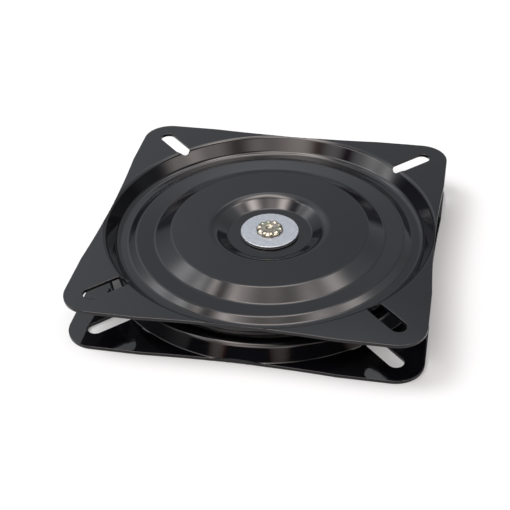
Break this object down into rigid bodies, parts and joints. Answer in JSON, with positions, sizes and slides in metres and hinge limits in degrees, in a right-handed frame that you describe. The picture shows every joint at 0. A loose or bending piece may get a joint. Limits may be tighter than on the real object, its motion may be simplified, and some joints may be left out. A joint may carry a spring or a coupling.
{
  "type": "seat swivel plate",
  "caption": "Square seat swivel: two black pressed steel plates with slotted corners, set back to back on a ball race, the upper one turning freely about a centre rivet.",
  "frame": {"origin": "middle of the lower plate's mounting face, on the axis of the swivel", "axes": "+Z along the swivel axis, up to the seat; +X and +Y square to the plates' sides"},
  "size_m": [0.178, 0.178, 0.0241],
  "materials": {
    "black_paint": "gloss black stoved paint on pressed steel",
    "bright_zinc": "bright zinc plate with a faint blue tint, fine turned grain",
    "yellow_zinc": "yellow passivated zinc plate, staked",
    "bearing_steel": "polished and lightly greased",
    "nylon": "natural nylon, moulded",
    "black_nylon": "black nylon, moulded"
  },
  "bodies": {
    "base": {"bottom_plate": "black_paint", "center_rivet": "yellow_zinc", "top_washer": "bright_zinc", "friction_washer": "black_nylon", "center_bush": "nylon", "bottom_washer": "bright_zinc"},
    "turntable": {"top_plate": "black_paint"},
    "ball_ring": {"ball_cage": "nylon", "ball_1": "bearing_steel", "ball_2": "bearing_steel", "ball_3": "bearing_steel", "ball_4": "bearing_steel", "ball_5": "bearing_steel", "ball_6": "bearing_steel", "ball_7": "bearing_steel", "ball_8": "bearing_steel", "ball_9": "bearing_steel", "ball_10": "bearing_steel", "ball_11": "bearing_steel", "ball_12": "bearing_steel", "ball_13": "bearing_steel", "ball_14": "bearing_steel", "ball_15": "bearing_steel", "ball_16": "bearing_steel", "ball_17": "bearing_steel", "ball_18": "bearing_steel", "ball_19": "bearing_steel", "ball_20": "bearing_steel", "ball_21": "bearing_steel", "ball_22": "bearing_steel", "ball_23": "bearing_steel", "ball_24": "bearing_steel"}
  },
  "joints": [
    {"name": "swivel", "type": "hinge", "parent": "base", "child": "turntable", "pos_m": [0, 0, 0.01204], "axis": [0, 0, 1], "continuous": true},
    {"name": "ball_ring_turn", "type": "hinge", "parent": "base", "child": "ball_ring", "pos_m": [0, 0, 0.01204], "axis": [0, 0, 1], "continuous": true}
  ],
  "couplings": [
    {"joint": "ball_ring_turn", "follows": "swivel", "ratio": 0.5}
  ]
}
